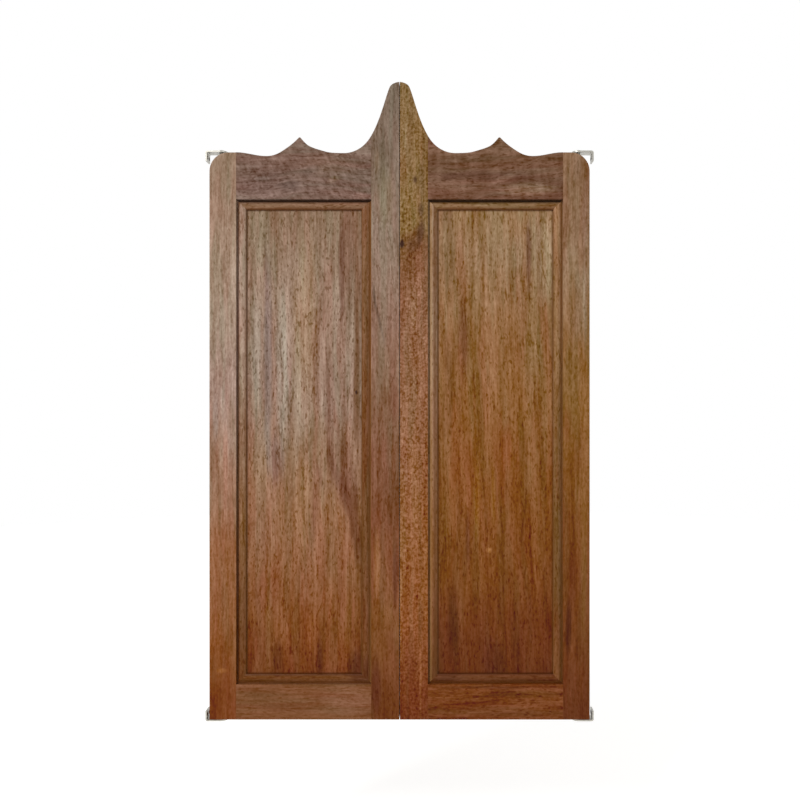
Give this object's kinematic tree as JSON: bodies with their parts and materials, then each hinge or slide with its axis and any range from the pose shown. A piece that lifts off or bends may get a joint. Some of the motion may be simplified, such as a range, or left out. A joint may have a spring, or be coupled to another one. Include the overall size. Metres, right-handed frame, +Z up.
{
  "type": "saloon door",
  "caption": "Pair of saloon doors: framed wood leaves with a flat panel, planted beads and a scrolled crest, each swinging both ways on a sprung foot pivot and a top pin.",
  "frame": {"origin": "midway between the two leaves at mid thickness, level with the underside of the bottom brackets", "axes": "+Z up, the fronts face -Y, +X from the left leaf to the right one as seen from the front"},
  "size_m": [0.831, 0.032, 1.3675],
  "materials": {
    "left_hinge_stile_wood": "satin varnish",
    "left_meeting_stile_wood": "satin varnish",
    "left_top_rail_wood": "satin varnish",
    "left_bottom_rail_wood": "satin varnish",
    "left_panel_wood": "satin varnish",
    "left_bead_wood": "satin varnish",
    "right_hinge_stile_wood": "satin varnish",
    "right_meeting_stile_wood": "satin varnish",
    "right_top_rail_wood": "satin varnish",
    "right_bottom_rail_wood": "satin varnish",
    "right_panel_wood": "satin varnish",
    "right_bead_wood": "satin varnish",
    "plated_steel": "zinc plated",
    "screw_steel": "bright",
    "spring_steel": "oiled",
    "bronze": "sintered",
    "nylon": "matte"
  },
  "bodies": {
    "jamb_hardware": {"left_bottom_bracket": "plated_steel", "left_thrust_washer": "nylon", "left_pivot_spindle": "plated_steel", "left_top_bracket": "plated_steel", "left_top_pin": "plated_steel", "right_bottom_bracket": "plated_steel", "right_thrust_washer": "nylon", "right_pivot_spindle": "plated_steel", "right_top_bracket": "plated_steel", "right_top_pin": "plated_steel"},
    "left_leaf": {"left_hinge_stile": "left_hinge_stile_wood", "left_meeting_stile": "left_meeting_stile_wood", "left_top_rail": "left_top_rail_wood", "left_bottom_rail": "left_bottom_rail_wood", "left_panel": "left_panel_wood", "left_front_hinge_bead": "left_bead_wood", "left_front_meeting_bead": "left_bead_wood", "left_front_top_bead": "left_bead_wood", "left_front_bottom_bead": "left_bead_wood", "left_back_hinge_bead": "left_bead_wood", "left_back_meeting_bead": "left_bead_wood", "left_back_top_bead": "left_bead_wood", "left_back_bottom_bead": "left_bead_wood", "left_spring_case": "plated_steel", "left_case_cap": "plated_steel", "left_foot_bush": "bronze", "left_foot_screws": "screw_steel", "left_torsion_spring": "spring_steel", "left_top_bush": "bronze"},
    "right_leaf": {"right_hinge_stile": "right_hinge_stile_wood", "right_meeting_stile": "right_meeting_stile_wood", "right_top_rail": "right_top_rail_wood", "right_bottom_rail": "right_bottom_rail_wood", "right_panel": "right_panel_wood", "right_front_hinge_bead": "right_bead_wood", "right_front_meeting_bead": "right_bead_wood", "right_front_top_bead": "right_bead_wood", "right_front_bottom_bead": "right_bead_wood", "right_back_hinge_bead": "right_bead_wood", "right_back_meeting_bead": "right_bead_wood", "right_back_top_bead": "right_bead_wood", "right_back_bottom_bead": "right_bead_wood", "right_spring_case": "plated_steel", "right_case_cap": "plated_steel", "right_foot_bush": "bronze", "right_foot_screws": "screw_steel", "right_torsion_spring": "spring_steel", "right_top_bush": "bronze"}
  },
  "joints": [
    {"name": "left_leaf_swing", "type": "hinge", "parent": "jamb_hardware", "child": "left_leaf", "pos_m": [-0.3845, 0, 0], "axis": [0, 0, 1], "range_deg": [-90, 90], "stiffness_Nm_per_rad": 1.5},
    {"name": "right_leaf_swing", "type": "hinge", "parent": "jamb_hardware", "child": "right_leaf", "pos_m": [0.3845, 0, 0], "axis": [0, 0, 1], "range_deg": [-90, 90], "stiffness_Nm_per_rad": 1.5}
  ]
}
